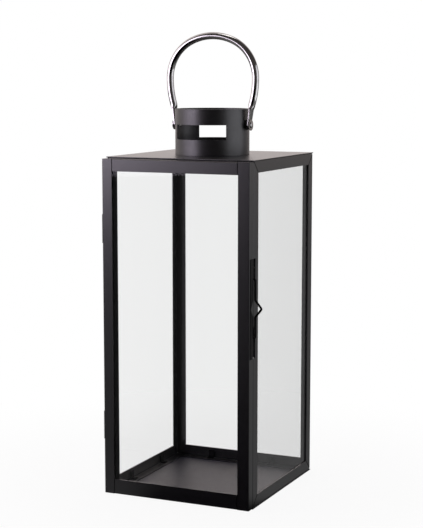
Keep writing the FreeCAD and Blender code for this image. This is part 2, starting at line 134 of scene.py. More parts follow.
def smooth(piece, angle=35):
    clearSelection()
    piece.select_set(True)
    bpy.context.view_layer.objects.active = piece
    bpy.ops.object.shade_smooth_by_angle(angle=math.radians(angle))
    # flats stay flat beside their small roundings
    applyModifier(piece, "WEIGHTED_NORMAL", weight=50, keep_sharp=True)


def setDown(piece, place, x, y, z):
    # puts a piece that was made at the origin where it belongs, along the given directions
    clearSelection()
    piece.select_set(True)
    bpy.context.view_layer.objects.active = piece
    turn = Matrix((x, y, z)).transposed().to_4x4()
    piece.matrix_world = Matrix.Translation(place) @ turn
    bpy.ops.object.transform_apply(location=True, rotation=True, scale=True)


def makeBlock(name, low, high):
    clearSelection()
    bpy.ops.mesh.primitive_cube_add(size=1, location=(0.5, 0.5, 0.5))
    block = begin(name)
    pickAll(block)
    bpy.ops.transform.resize(value=tuple(high - low), center_override=(0, 0, 0))
    bpy.ops.transform.translate(value=tuple(low))
    bpy.ops.object.mode_set(mode="OBJECT")
    return block


def punchHole(piece, place, radius, sides, depth=0.01):
    clearSelection()
    bpy.ops.mesh.primitive_cylinder_add(vertices=sides, radius=radius, depth=depth, location=place)
    punch = begin("punch")
    applyModifier(piece, "BOOLEAN", operation="DIFFERENCE", object=punch, solver="EXACT")
    bpy.data.objects.remove(punch)


def boreOut(piece, axis, wall):
    # inset both ends of a round bar and join the two rings through it
    pick(piece, "FACE", lambda co, n: abs(n[axis]) > facing["flat"])
    bpy.ops.mesh.inset(thickness=wall)
    bpy.ops.mesh.bridge_edge_loops()
    faceOutwards(piece)


def joinUp(name, pieces):
    clearSelection()
    for piece in pieces:
        piece.select_set(True)
    bpy.context.view_layer.objects.active = pieces[0]
    bpy.ops.object.join()
    whole = bpy.context.object
    whole.name = name
    whole.data.name = name
    return whole


def finishPiece(piece, material, body, node):
    piece.data.materials.clear()
    piece.data.materials.append(material)
    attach(piece, body)
    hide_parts(node)


# finishes

noiseSpan = {"values": (0.3, 0.7), "colours": (0.32, 0.68)}  # where most of the noise lies


def addNode(owner, kind, **settings):
    # the owner is a material or the world
    node = owner.node_tree.nodes.new(kind)
    for key, value in settings.items():
        setattr(node, key, value)
    return node


def wire(owner, source, target):
    owner.node_tree.links.new(source, target)


def newMaterial(name):
    material = bpy.data.materials.new(name)
    material.use_nodes = True
    material.node_tree.nodes.clear()
    output = addNode(material, "ShaderNodeOutputMaterial")
    shader = addNode(material, "ShaderNodeBsdfPrincipled")
    wire(material, shader.outputs[0], output.inputs[0])
    return material, shader, output


def grainOf(material, scale, detail, stretch=None):
    # noise on the piece's own place in the object, stretched for brushed or drawn metal
    place = addNode(material, "ShaderNodeTexCoord").outputs["Object"]
    if stretch:
        mapping = addNode(material, "ShaderNodeMapping")
        mapping.inputs["Scale"].default_value = stretch
        wire(material, place, mapping.inputs["Vector"])
        place = mapping.outputs["Vector"]
    noise = addNode(material, "ShaderNodeTexNoise")
    noise.inputs["Scale"].default_value = scale
    noise.inputs["Detail"].default_value = detail
    wire(material, place, noise.inputs["Vector"])
    return noise.outputs["Fac"]


def rampOf(owner, source, span, low, high, kind="LINEAR"):
    ramp = addNode(owner, "ShaderNodeMapRange", interpolation_type=kind)
    for socket, value in zip(("From Min", "From Max", "To Min", "To Max"), (*span, low, high)):
        ramp.inputs[socket].default_value = value
    wire(owner, source, ramp.inputs["Value"])
    return ramp.outputs["Result"]


def mottle(material, finish, detail):
    # noise between the finish's dark and light colours
    ramp = addNode(material, "ShaderNodeValToRGB")
    colours = (finish["dark"], finish["light"])
    for stop, place, colour in zip(ramp.color_ramp.elements, noiseSpan["colours"], colours):
        stop.position = place
        stop.color = (*colour, 1)
    wire(material, grainOf(material, finish["cloud"], detail), ramp.inputs["Fac"])
    return ramp.outputs["Color"]


def roughen(material, shader, source, finish):
    level = rampOf(material, source, noiseSpan["values"], *finish["rough"])
    wire(material, level, shader.inputs["Roughness"])


def relief(material, shader, source, strength, distance):
    bump = addNode(material, "ShaderNodeBump")
    bump.inputs["Strength"].default_value = strength
    bump.inputs["Distance"].default_value = distance
    wire(material, source, bump.inputs["Height"])
    wire(material, bump.outputs["Normal"], shader.inputs["Normal"])


def blend(owner, share, first, second):
    mix = addNode(owner, "ShaderNodeMixShader")
    for socket, source in zip(mix.inputs, (share, first, second)):
        wire(owner, source, socket)
    return mix.outputs[0]


powderCoat = {"dark": (0.0034, 0.0031, 0.0045), "light": (0.0060, 0.0056, 0.0076), "ior": 2.0,
              "rough": (0.29, 0.325), "cloud": 45, "fine": 225,
              "peel": 1500, "peelDepth": 0.00003, "peelStrength": 0.02}
baseFinish = {"dark": (0.0034, 0.0045, 0.014), "light": (0.0060, 0.0075, 0.020),
              "rough": (0.45, 0.51), "ior": 1.9}
collarFinish = {"rough": (0.38, 0.43)}
hardwareFinish = {"dark": (0.0016, 0.0016, 0.0018), "light": (0.004, 0.004, 0.0044), "rough": (0.5, 0.62),
                  "cloud": 120, "fine": 600, "ior": 1.32}


def makePowderCoat(name, change):
    coat = {**powderCoat, **change}
    material, shader, _ = newMaterial(name)
    wire(material, mottle(material, coat, 4), shader.inputs["Base Color"])
    roughen(material, shader, grainOf(material, coat["fine"], 5), coat)
    shader.inputs["IOR"].default_value = coat["ior"]
    relief(material, shader, grainOf(material, coat["peel"], 2), coat["peelStrength"], coat["peelDepth"])
    return material


blackCoat = makePowderCoat("satinBlackCoat", {})
baseCoat = makePowderCoat("mattBlackCoat", baseFinish)
collarCoat = makePowderCoat("softBlackCoat", collarFinish)
hardwareCoat = makePowderCoat("blackHardware", hardwareFinish)

steelFinish = {"dark": (0.62, 0.61, 0.60), "light": (0.80, 0.79, 0.77), "cloud": 160, "rough": (0.05, 0.13),
               "lines": 900, "drawn": (1, 0.15, 1), "paintedRimShadeSpan": (0.38, 0.72), "paintedRimShadeShare": 0.3,
               "grain": 700, "grainStrength": 0.03, "grainDepth": 0.00003}


def makePolishedSteel():
    material, shader, _ = newMaterial("polishedSteel")
    shader.inputs["Metallic"].default_value = 1.0
    # painted shade: the base colour darkens where the bar turns away from view, standing in for the dark
    # reflection along the bar's edges
    turned = addNode(material, "ShaderNodeLayerWeight").outputs["Facing"]
    dim = rampOf(material, turned, steelFinish["paintedRimShadeSpan"], 1.0, steelFinish["paintedRimShadeShare"])
    colour = addNode(material, "ShaderNodeVectorMath", operation="SCALE")
    wire(material, mottle(material, steelFinish, 4), colour.inputs[0])
    wire(material, dim, colour.inputs["Scale"])
    wire(material, colour.outputs[0], shader.inputs["Base Color"])
    roughen(material, shader, grainOf(material, steelFinish["lines"], 3, steelFinish["drawn"]), steelFinish)
    relief(material, shader, grainOf(material, steelFinish["grain"], 2),
           steelFinish["grainStrength"], steelFinish["grainDepth"])
    return material


polishedSteel = makePolishedSteel()

paneGlass = {"ior": 1.36, "tint": (0.958, 0.961, 0.960), "paleSlantIor": 1.19, "paleSlantTint": (0.994, 0.995, 0.994),
             "shadow": (0.9, 0.9, 0.9), "wave": 5, "waveStrength": 0.006, "waveDepth": 0.0004}


def makeClearGlass(name, ior, colour):
    # lamps pass straight through, so what stands inside is lit
    material, shader, output = newMaterial(name)
    shader.inputs["Base Color"].default_value = (*colour, 1)
    shader.inputs["Roughness"].default_value = 0.0
    shader.inputs["IOR"].default_value = ior
    shader.inputs["Transmission Weight"].default_value = 1.0
    relief(material, shader, grainOf(material, paneGlass["wave"], 1),
           paneGlass["waveStrength"], paneGlass["waveDepth"])
    clear = addNode(material, "ShaderNodeBsdfTransparent")
    clear.inputs["Color"].default_value = (*paneGlass["shadow"], 1)
    shadowRay = addNode(material, "ShaderNodeLightPath").outputs["Is Shadow Ray"]
    wire(material, blend(material, shadowRay, shader.outputs[0], clear.outputs[0]), output.inputs[0])
    return material


clearGlass = makeClearGlass("clearPaneGlass", paneGlass["ior"], paneGlass["tint"])
# a paler copy of the pane glass for the left pane, seen at a slant through the door: lighter tint and lower
# IOR, so it darkens and reflects less than the other panes; painted light
paleSlantGlass = makeClearGlass("paleSlantPaneGlass", paneGlass["paleSlantIor"], paneGlass["paleSlantTint"])

darkEdgeFinish = {"dark": (0.010, 0.013, 0.012), "light": (0.030, 0.036, 0.034), "cloud": 500,
              "rough": (0.45, 0.65), "grain": 1500}


def makeDarkPaneEdge():
    # the pane's edge faces, dark and opaque, so that a dark line shows round each pane
    material, shader, _ = newMaterial("darkPaneEdgeFinish")
    wire(material, mottle(material, darkEdgeFinish, 4), shader.inputs["Base Color"])
    roughen(material, shader, grainOf(material, darkEdgeFinish["grain"], 3), darkEdgeFinish)
    return material


darkPaneEdge = makeDarkPaneEdge()

fibre = {"dark": (0.008, 0.008, 0.008), "light": (0.02, 0.02, 0.02), "cloud": 600, "rough": (0.55, 0.8),
         "grain": 900, "weave": 2500, "weaveStrength": 0.3, "weaveDepth": 0.00008}


def makeWasherFibre():
    material, shader, _ = newMaterial("washerFibre")
    wire(material, mottle(material, fibre, 5), shader.inputs["Base Color"])
    roughen(material, shader, grainOf(material, fibre["grain"], 4), fibre)
    relief(material, shader, grainOf(material, fibre["weave"], 3),
           fibre["weaveStrength"], fibre["weaveDepth"])
    return material


washerFibre = makeWasherFibre()
print("finishes made")


# folded sheet: the body's angles, the door's stiles and rails, and the clips

def foldSheet(name, length, wideA, wideB, sheet):
    # the fold runs along Y, one leg lies along X and the other along Z
    clearSelection()
    bpy.ops.mesh.primitive_plane_add(size=1, location=(0.5, 0.5, 0))
    piece = begin(name)
    pickAll(piece)
    bpy.ops.transform.resize(value=(wideA, length, 1), center_override=(0, 0, 0))
    pick(piece, "EDGE", lambda co: co.x < within["same"])
    bpy.ops.mesh.extrude_region_move(TRANSFORM_OT_translate={"value": (0, 0, wideB)})
    if sheet.get("mitre"):
        gap = sheet["mitre"]
        cutThrough(piece, (0, gap, 0), (-1, 1, -1), drop=True)
        cutThrough(piece, (0, length - gap, 0), (-1, -1, -1), drop=True)
    if sheet.get("fold"):
        pick(piece, "EDGE", lambda co: abs(co.x) < within["same"] and abs(co.z) < within["same"])
        bpy.ops.mesh.bevel(offset=sheet["fold"], segments=4, affect="EDGES")
    for low, high, deepA, deepB in sheet.get("notches", ()):
        for place, normal in (((0, low, 0), yAxis), ((0, high, 0), yAxis),
                              ((deepA, 0, 0), xAxis), ((0, 0, deepB), zAxis)):
            cutThrough(piece, place, normal)
        pick(piece, "FACE", lambda co, n: low < co.y < high and co.x < deepA and co.z < deepB)
        bpy.ops.mesh.delete(type="FACE")
        # the punched tongue is bent in behind the opening
        pick(piece, "EDGE", lambda co: abs(co.z - deepB) < within["same"] and co.x < within["same"]
             and low - within["same"] < co.y < high + within["same"])
        bpy.ops.mesh.extrude_region_move(TRANSFORM_OT_translate={"value": (sheet["tongue"], 0, 0)})
    if sheet.get("trim"):
        near, far = sheet["trim"]
        fold = sheet["fold"]
        cutThrough(piece, (0, near, 0), yAxis)
        cutThrough(piece, (0, length - far, 0), yAxis)
        cutThrough(piece, (0, 0, fold), zAxis)
        pick(piece, "FACE", lambda co, n: not near < co.y < length - far and co.z < fold)
        bpy.ops.mesh.delete(type="FACE")
    applyModifier(piece, "SOLIDIFY", thickness=sheet["thick"], offset=1, use_even_offset=True)
    closeUp(piece)
    if sheet.get("lip"):
        addLips(piece, length, sheet)
    breakEdges(piece, sheet["edge"])
    smooth(piece)
    return piece


def addLips(piece, length, sheet):
    # a thin lip on the inside of each joint, so that the joint shows as a fine dark line
    thick, inside = sheet["thick"], sheet["thick"] - sheet["lip"]
    cutThrough(piece, (0, 0, inside), zAxis)
    cutThrough(piece, (inside, 0, 0), xAxis)
    near, far = sheet.get("trim", (None, None))
    for turn in (-1, 1):
        def onEnd(co):
            along = co.y if turn < 0 else length - co.y
            if near is None:
                return abs(along - max(co.x, co.z) - sheet["mitre"]) < within["close"]
            return abs(along - (near if turn < 0 else far)) < within["same"]
        pick(piece, "FACE", lambda co, n: n.y * turn > facing["mitred"] and onEnd(co) and (
            inside < co.z < thick < co.x or inside < co.x < thick < co.z))
        bpy.ops.mesh.extrude_region_move(TRANSFORM_OT_translate={"value": (0, turn * sheet["seam"], 0)})
    bpy.ops.object.mode_set(mode="OBJECT")


def layFold(piece, corner, legA, legB, along):
    # a left-handed corner swaps its legs, so that the sheet isn't turned inside out
    if legA.cross(along).dot(legB) < 0:
        legA, legB = legB, legA
    setDown(piece, corner, legA, along, legB)


frameSheet = {"flange": 0.0144, "thick": 0.0012, "fold": 0.0011, "edge": 0.00016, "mitre": 0.0008,
              "seam": 0.00078, "lip": 0.0003, "tongue": 0.006}
latchNotch = {"wide": 0.0072, "deep": 0.006, "upperFrom": 0.0345, "lowerFrom": 0.0225}

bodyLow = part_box("front_left_post")[0]
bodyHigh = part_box("rear_right_post")[1]


def cornerAt(x, y, z):
    return Vector(((bodyLow, bodyHigh)[x].x, (bodyLow, bodyHigh)[y].y, (bodyLow, bodyHigh)[z].z))


def notchSpans():
    # the two openings in the latch post, read from the keeper and the wire that use them
    wireLow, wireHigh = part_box("latch_wire")
    keepLow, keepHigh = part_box("latch_keeper")
    middle = (wireLow.z + wireHigh.z) / 2
    half = (keepHigh.z - keepLow.z) / 2
    return [(middle + latchNotch["upperFrom"], middle + half),
            (middle - half, middle - latchNotch["lowerFrom"])]


def makeFrameMember(name, corner, legA, legB, along, length, notches=()):
    sheet = dict(frameSheet, notches=notches)
    piece = foldSheet(name, length, frameSheet["flange"], frameSheet["flange"], sheet)
    layFold(piece, corner, legA, legB, along)
    finishPiece(piece, blackCoat, "lantern_body", name)


def makeFrame():
    tall = bodyHigh.z - bodyLow.z
    wide = bodyHigh.x - bodyLow.x
    deep = bodyHigh.y - bodyLow.y
    for nameX, sideX, inX in (("left", 0, xAxis), ("right", 1, -xAxis)):
        for nameY, sideY, inY in (("front", 0, yAxis), ("rear", 1, -yAxis)):
            name = f"{nameY}_{nameX}_post"
            notches = []
            if name == "front_right_post":
                notches = [(low - bodyLow.z, high - bodyLow.z, latchNotch["wide"], latchNotch["deep"])
                           for low, high in notchSpans()]
            makeFrameMember(name, cornerAt(sideX, sideY, 0), inX, inY, zAxis, tall, notches)
    for level, high, inZ in (("bottom", 0, zAxis), ("top", 1, -zAxis)):
        for nameY, sideY, inY in (("front", 0, yAxis), ("rear", 1, -yAxis)):
            makeFrameMember(f"{nameY}_{level}_rail", cornerAt(0, sideY, high), inY, inZ, xAxis, wide)
        for nameX, sideX, inX in (("left", 0, xAxis), ("right", 1, -xAxis)):
            makeFrameMember(f"{nameX}_{level}_rail", cornerAt(sideX, 0, high), inX, inZ, yAxis, deep)


makeFrame()
print("frame folded and mitred")


# flat plates and glass

def makeSlab(node, name, edge, segments):
    slab = makeBlock(name, *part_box(node))
    breakEdges(slab, edge, segments)
    return slab


plateEdge = {"edge": 0.0003, "steps": 3, "vent": 0.04, "ventSides": 96}


def makePlates():
    base = makeSlab("base_plate", "base_plate_sheet", plateEdge["edge"], plateEdge["steps"])
    smooth(base)
    finishPiece(base, baseCoat, "lantern_body", "base_plate")
    roof = makeSlab("roof_plate", "roof_plate_sheet", plateEdge["edge"], plateEdge["steps"])
    low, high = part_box("roof_plate")
    punchHole(roof, (0, 0, (low.z + high.z) / 2), plateEdge["vent"], plateEdge["ventSides"])
    smooth(roof)
    finishPiece(roof, blackCoat, "lantern_body", "roof_plate")


makePlates()

paneEdge = {"arris": 0.0004, "steps": 1}


def makePanes():
    for node, body in (("left_glass", "lantern_body"), ("right_glass", "lantern_body"),
                       ("rear_glass", "lantern_body"), ("door_glass", "door")):
        pane = makeSlab(node, node + "_pane", paneEdge["arris"], paneEdge["steps"])
        # the left pane gets the paler, painted-light copy of the glass
        finishPiece(pane, paleSlantGlass if node == "left_glass" else clearGlass, body, node)
        # the edge faces take the dark opaque finish
        pane.data.materials.append(darkPaneEdge)
        low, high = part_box(node)
        thin = min(range(3), key=lambda axis: (high - low)[axis])
        for face in pane.data.polygons:
            face.material_index = 0 if abs(face.normal[thin]) > facing["flat"] else 1


makePanes()
print("plates and panes cut")


# clips: short bent tabs that stand behind the glass

clipSheet = {"thick": 0.0008, "fold": 0.0008, "edge": 0.00008, "width": 0.008, "tall": 0.010, "foot": 0.007,
             "spacing": 0.088}


def makeClips():
    walls = {
        "right_glass_clips": ("lantern_body", -xAxis, yAxis),
        "left_glass_clips": ("lantern_body", xAxis, yAxis),
        "rear_glass_clips": ("lantern_body", -yAxis, xAxis),
        "door_glass_clips": ("door", yAxis, xAxis),
    }
    for node, (body, inward, along) in walls.items():
        low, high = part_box(node)
        middle = (low + high) / 2
        clips = []
        for level, up in ((low.z, zAxis), (high.z, -zAxis)):
            for side in (-0.5, 0.5):
                clip = foldSheet("clip", clipSheet["width"], clipSheet["foot"], clipSheet["tall"], clipSheet)
                near = [low[i] if inward[i] > 0 else high[i] for i in range(3)]
                corner = Vector((near[0] if inward.x else middle.x, near[1] if inward.y else middle.y, level))
                start = corner + along * (side * clipSheet["spacing"] - clipSheet["width"] / 2)
                run = along
                if inward.cross(run).dot(up) < 0:
                    run = -along
                    start = start + along * clipSheet["width"]
                setDown(clip, start, inward, run, up)
                clips.append(clip)
        finishPiece(joinUp(node + "_tabs", clips), hardwareCoat, body, node)


makeClips()
print("clips bent")


# door: stiles run full height, rails butt between them

doorSheet = {"thick": 0.0012, "fold": 0.0011, "edge": 0.00016, "seam": 0.0011, "railLip": 0.0003}


def makeDoor():
    for node, side in (("door_left_stile", 0), ("door_right_stile", 1)):
        low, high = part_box(node)
        stile = foldSheet(node, high.z - low.z, high.x - low.x, high.y - low.y, doorSheet)
        if side:
            setDown(stile, Vector((high.x, low.y, low.z)), -xAxis, zAxis, yAxis)
        else:
            setDown(stile, Vector((low.x, low.y, high.z)), xAxis, -zAxis, yAxis)
        finishPiece(stile, blackCoat, "door", node)
    for node, up in (("door_bottom_rail", 1), ("door_top_rail", -1)):
        low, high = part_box(node)
        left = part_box("door_left_stile")[1].x - low.x + doorSheet["seam"]
        right = high.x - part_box("door_right_stile")[0].x + doorSheet["seam"]
        trim = (left, right) if up > 0 else (right, left)
        sheet = dict(doorSheet, trim=trim, lip=doorSheet["railLip"])
        rail = foldSheet(node, high.x - low.x, high.z - low.z, high.y - low.y, sheet)
        if up > 0:
            setDown(rail, Vector((low.x, low.y, low.z)), zAxis, xAxis, yAxis)
        else:
            setDown(rail, Vector((high.x, low.y, high.z)), -zAxis, -xAxis, yAxis)
        finishPiece(rail, blackCoat, "door", node)


makeDoor()
print("door folded")


# round bar, swept through its corners: straight runs extruded, bends spun

def sweepBar(name, radius, corners, bend, sides, steps=8):
    heading = (corners[1] - corners[0]).normalized()
    clearSelection()
    bpy.ops.mesh.primitive_circle_add(vertices=sides, radius=radius, location=corners[0],
                                      rotation=heading.to_track_quat("Z", "Y").to_euler())
    bar = begin(name)
    pickAll(bar)
    here = corners[0].copy()
    for before, corner, after in zip(corners, corners[1:], corners[2:]):
        heading = (corner - before).normalized()
        leaving = (after - corner).normalized()
        turn = heading.angle(leaving)
        stop = corner - heading * bend * math.tan(turn / 2)
        inside = (leaving - heading * leaving.dot(heading)).normalized()
        bpy.ops.mesh.extrude_region_move(TRANSFORM_OT_translate={"value": stop - here})
        spinRing(stop + inside * bend, heading.cross(leaving).normalized(), turn, steps)
        here = corner + leaving * bend * math.tan(turn / 2)
    bpy.ops.mesh.extrude_region_move(TRANSFORM_OT_translate={"value": corners[-1] - here})
    closeUp(bar)
    return bar


def spinRing(centre, axis, turn, steps):
    # the spin tool counts its angle the other way round
    bpy.ops.mesh.spin(steps=steps, angle=-turn, center=centre, axis=axis)


latchBar = {"radius": 0.0012, "coat": 0.0002, "reach": 0.0103, "bend": 0.0022, "run": 0.072, "bump": 0.0208,
            "tail": 0.0085, "travel": 0.012, "clear": 0.0003, "sides": 20, "tip": 0.0004}


def makeLatchWire():
    low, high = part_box("latch_wire")
    radius = (high.y - low.y) / 2
    y, z = (low.y + high.y) / 2, (low.z + high.z) / 2
    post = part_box("front_right_post")[1].x
    gap = post - frameSheet["thick"] - low.x - 2 * radius
    inside = low.x + radius
    radius += latchBar["coat"]  # the finish lies thick on the wire
    outside = post + gap + radius
    apex = post + latchBar["reach"] - latchBar["coat"]
    half = [(inside, latchBar["run"] / 2 + latchBar["tail"]), (inside, latchBar["run"] / 2),
            (outside, latchBar["run"] / 2), (outside, latchBar["bump"] / 2)]
    route = half + [(apex, 0)] + [(x, -up) for x, up in reversed(half)]
    corners = [Vector((x, y, z + up)) for x, up in route]
    bar = sweepBar("latch_wire_bar", radius, corners, latchBar["bend"], latchBar["sides"])
    breakEdges(bar, latchBar["tip"], angle=60)
    smooth(bar, angle=50)
    finishPiece(bar, hardwareCoat, "latch", "latch_wire")


makeLatchWire()

keeperPlate = {"thick": 0.0008, "width": 0.008, "notch": 0.0064, "ear": 0.0015, "earOverlap": 0.0002,
               "earGap": 0.0004, "edge": 0.00012, "eye": 0.0019, "eyeSides": 32}


def makeKeeper():
    low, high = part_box("latch_keeper")
    wireLow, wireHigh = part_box("latch_wire")
    middle = (wireLow.z + wireHigh.z) / 2
    face = high.x - keeperPlate["thick"]
    rear = low.y + keeperPlate["width"]
    clearSelection()
    bpy.ops.mesh.primitive_plane_add(size=1, location=(0.5, 0.5, 0))
    strip = begin("latch_keeper_strip")
    pickAll(strip)
    bpy.ops.transform.resize(value=(keeperPlate["width"], high.z - low.z, 1), center_override=(0, 0, 0))
    setDown(strip, Vector((face, low.y, low.z)), yAxis, zAxis, xAxis)
    for up in (-0.5, 0, 0.5):
        cutThrough(strip, (0, 0, middle + up * latchBar["bump"]), zAxis)
    # the rear edge is drawn in behind the thumb bump
    pick(strip, "VERT", lambda co: abs(co.z - middle) < within["close"] and co.y > rear - within["close"])
    bpy.ops.transform.translate(value=(0, -keeperPlate["notch"], 0))
    applyModifier(strip, "SOLIDIFY", thickness=keeperPlate["thick"], offset=1, use_even_offset=True)
    closeUp(strip)
    # the ear that the wire's upper end enters
    earLow = wireHigh.z - latchBar["tail"] + latchBar["radius"] + latchBar["travel"] + latchBar["clear"]
    ear = makeEar(low, high, face, rear, earLow, wireLow, wireHigh)
    breakEdges(strip, keeperPlate["edge"])
    keeper = joinUp("latch_keeper_strip", [strip, ear])
    smooth(keeper)
    finishPiece(keeper, hardwareCoat, "door", "latch_keeper")


def makeEar(low, high, face, rear, earLow, wireLow, wireHigh):
    ear = makeBlock("keeper_ear", Vector((face, rear - keeperPlate["earOverlap"], earLow)),
                    Vector((high.x, high.y, earLow + keeperPlate["ear"])))
    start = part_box("front_right_post")[0].y - keeperPlate["earGap"]
    cutThrough(ear, (0, start, 0), yAxis)
    pick(ear, "FACE", lambda co, n: n.x < -facing["flat"] and co.y > start)
    bpy.ops.mesh.extrude_region_move(TRANSFORM_OT_translate={"value": (low.x - face, 0, 0)})
    bpy.ops.object.mode_set(mode="OBJECT")
    eye = (wireLow.x + (wireHigh.y - wireLow.y) / 2, (wireLow.y + wireHigh.y) / 2, earLow)
    punchHole(ear, eye, keeperPlate["eye"], keeperPlate["eyeSides"])
    return ear


makeKeeper()
print("latch bent")


# hinges: a leaf, its tongue and its rolled knuckles

hingeLeaf = {"barrel": 0.002, "bore": 0.00105, "gap": 0.0003, "edge": 0.00012, "sides": 32, "thick": 0.0008,
             "tuck": 0.9, "pinSides": 24, "pinEdge": 0.0003}


def makeTube(low, high, axisX, axisY):
    clearSelection()
    bpy.ops.mesh.primitive_cylinder_add(vertices=hingeLeaf["sides"], radius=hingeLeaf["barrel"],
                                        depth=high - low, location=(axisX, axisY, (low + high) / 2))
    tube = begin("knuckle")
    boreOut(tube, 2, hingeLeaf["barrel"] - hingeLeaf["bore"])
    return tube


def makeHinges():
    for level in ("lower", "upper"):
        pinLow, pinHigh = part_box(f"{level}_hinge_pin")
        axisX, axisY = (pinLow.x + pinHigh.x) / 2, (pinLow.y + pinHigh.y) / 2
        third = (pinHigh.z - pinLow.z) / 3
        knuckles = {
            "body": [(pinLow.z, pinLow.z + third), (pinHigh.z - third, pinHigh.z)],
            "door": [(pinLow.z + third + hingeLeaf["gap"], pinHigh.z - third - hingeLeaf["gap"])],
        }
        for kind, body, side in (("body", "lantern_body", 1), ("door", "door", -1)):
            node = f"{level}_hinge_{kind}_leaf"
            low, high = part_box(node)
            near = axisY + side * (hingeLeaf["barrel"] + hingeLeaf["gap"])
            far = high.y if side > 0 else low.y
            back = high.x - hingeLeaf["thick"]
            pieces = [makeBlock("leaf", Vector((back, min(near, far), low.z)),
                                Vector((high.x, max(near, far), high.z)))]
            inner = axisY + side * hingeLeaf["barrel"] * hingeLeaf["tuck"]
            for start, end in knuckles[kind]:
                pieces.append(makeBlock("tongue", Vector((back, min(near, inner), start)),
                                        Vector((high.x, max(near, inner), end))))
                pieces.append(makeTube(start, end, axisX, axisY))
            for piece in pieces:
                breakEdges(piece, hingeLeaf["edge"], angle=50)
            whole = joinUp(node + "_sheet", pieces)
            smooth(whole)
            finishPiece(whole, hardwareCoat, body, node)
        clearSelection()
        bpy.ops.mesh.primitive_cylinder_add(vertices=hingeLeaf["pinSides"], radius=(pinHigh.x - pinLow.x) / 2,
                                            depth=pinHigh.z - pinLow.z,
                                            location=(axisX, axisY, (pinLow.z + pinHigh.z) / 2))
        pin = begin(f"{level}_hinge_pin_rod")
        breakEdges(pin, hingeLeaf["pinEdge"], 3, angle=50)
        smooth(pin)
        finishPiece(pin, hardwareCoat, "lantern_body", f"{level}_hinge_pin")


makeHinges()
print("hinges rolled")


# vent collar and its cap

collarTube = {"sides": 180, "wall": 0.0012, "slotHalf": 46.5, "slotLow": 0.020, "slotTall": 0.0185,
              "edge": 0.0002}


def makeCollar():
    low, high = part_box("vent_collar")
    radius = high.x
    clearSelection()
    bpy.ops.mesh.primitive_cylinder_add(vertices=collarTube["sides"], radius=radius, depth=high.z - low.z,
                                        end_fill_type="NOTHING", location=(0, 0, (low.z + high.z) / 2))
    collar = begin("vent_collar_tube")
    bottom = low.z + collarTube["slotLow"]
    top = bottom + collarTube["slotTall"]
    cutThrough(collar, (0, 0, bottom), zAxis)
    cutThrough(collar, (0, 0, top), zAxis)
    half = math.radians(collarTube["slotHalf"])
    pick(collar, "FACE", lambda co, n: bottom < co.z < top and math.atan2(abs(co.x), abs(co.y)) < half)
    bpy.ops.mesh.delete(type="FACE")
    bpy.ops.object.mode_set(mode="OBJECT")
    applyModifier(collar, "SOLIDIFY", thickness=collarTube["wall"], offset=-1, use_even_offset=True)
    breakEdges(collar, collarTube["edge"])
    smooth(collar)
    finishPiece(collar, collarCoat, "lantern_body", "vent_collar")


capDisc = {"sides": 180, "round": 0.0003, "roundSteps": 5, "rim": 0.0026, "sheet": 0.0012, "sink": 0.0022,
           "middle": 0.01}


def makeCap():
    low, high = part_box("collar_cap")
    clearSelection()
    bpy.ops.mesh.primitive_cylinder_add(vertices=capDisc["sides"], radius=high.x, depth=high.z - low.z,
                                        location=(0, 0, (low.z + high.z) / 2))
    cap = begin("collar_cap_disc")
    pick(cap, "EDGE", lambda co: co.z > high.z - within["same"])
    bpy.ops.mesh.bevel(offset=capDisc["round"], segments=capDisc["roundSteps"], affect="EDGES")
    # the middle is pressed down inside the rim
    for up, rim in ((1, capDisc["rim"]), (-1, capDisc["rim"] - capDisc["sheet"])):
        pick(cap, "FACE", lambda co, n: n.z * up > facing["level"] and co.xy.length < capDisc["middle"])
        bpy.ops.mesh.inset(thickness=rim)
        bpy.ops.mesh.extrude_region_move(TRANSFORM_OT_translate={"value": (0, 0, -capDisc["sink"])})
    bpy.ops.object.mode_set(mode="OBJECT")
    smooth(cap)
    finishPiece(cap, collarCoat, "lantern_body", "collar_cap")


makeCollar()
makeCap()
print("collar rolled and slotted")


# bail handle: five spun arcs, then each end is drawn out flat

bail = {"bar": 0.0045, "half": 0.0595, "shoulder": 0.0584, "rise": 0.0536, "side": 0.052, "lean": 7.5,
        "tabThick": 0.0032, "tabWide": 0.012, "tabLong": 0.018, "fold": 0.007, "tabGap": 0.0003,
        "sides": 32, "legSteps": 12, "sideSteps": 26, "topSteps": 24,
        "drawn": ((0.75, 0.12), (0.5, 0.42), (0.25, 0.8), (0.0, 1.0)),  # share of the fold, share flattened
        "round": 2, "boxy": 4.5, "tipTurns": (0.35, 0.7, 1.0, 1.25, 1.45, 1.57),
        "tipThin": 0.25, "tipLeast": 0.0006}


def tabMiddle(up):
    # how far out the middle of the leaning flat is, at a height above the pivot
    lean = math.radians(bail["lean"])
    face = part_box("right_handle_washer")[1].x + bail["tabGap"] + bail["tabWide"] / 2 * math.sin(lean)
    return face + bail["tabThick"] / 2 / math.cos(lean) + up * math.tan(lean)


def bailArcs():
    footUp = bail["tabLong"] + bail["fold"]
    foot = Vector((tabMiddle(footUp), 0, footUp))
    fall, drawIn = bail["shoulder"] - foot.z, bail["half"] - foot.x
    leg = (fall ** 2 + drawIn ** 2) / (2 * drawIn)
    offset, over = bail["half"] - bail["side"], bail["rise"] - bail["side"]
    drop = (offset ** 2 - over ** 2) / (2 * over)
    swing = math.atan2(drop, offset)
    legTurn = math.asin(fall / leg)
    arcs = [  # centre across, centre up, turn, steps
        (leg - bail["half"], bail["shoulder"], legTurn, bail["legSteps"]),
        (-offset, bail["shoulder"], swing, bail["sideSteps"]),
        (0, bail["shoulder"] - drop, math.pi - 2 * swing, bail["topSteps"]),
        (offset, bail["shoulder"], swing, bail["sideSteps"]),
        (bail["half"] - leg, bail["shoulder"], legTurn, bail["legSteps"]),
    ]
    return foot, legTurn, arcs


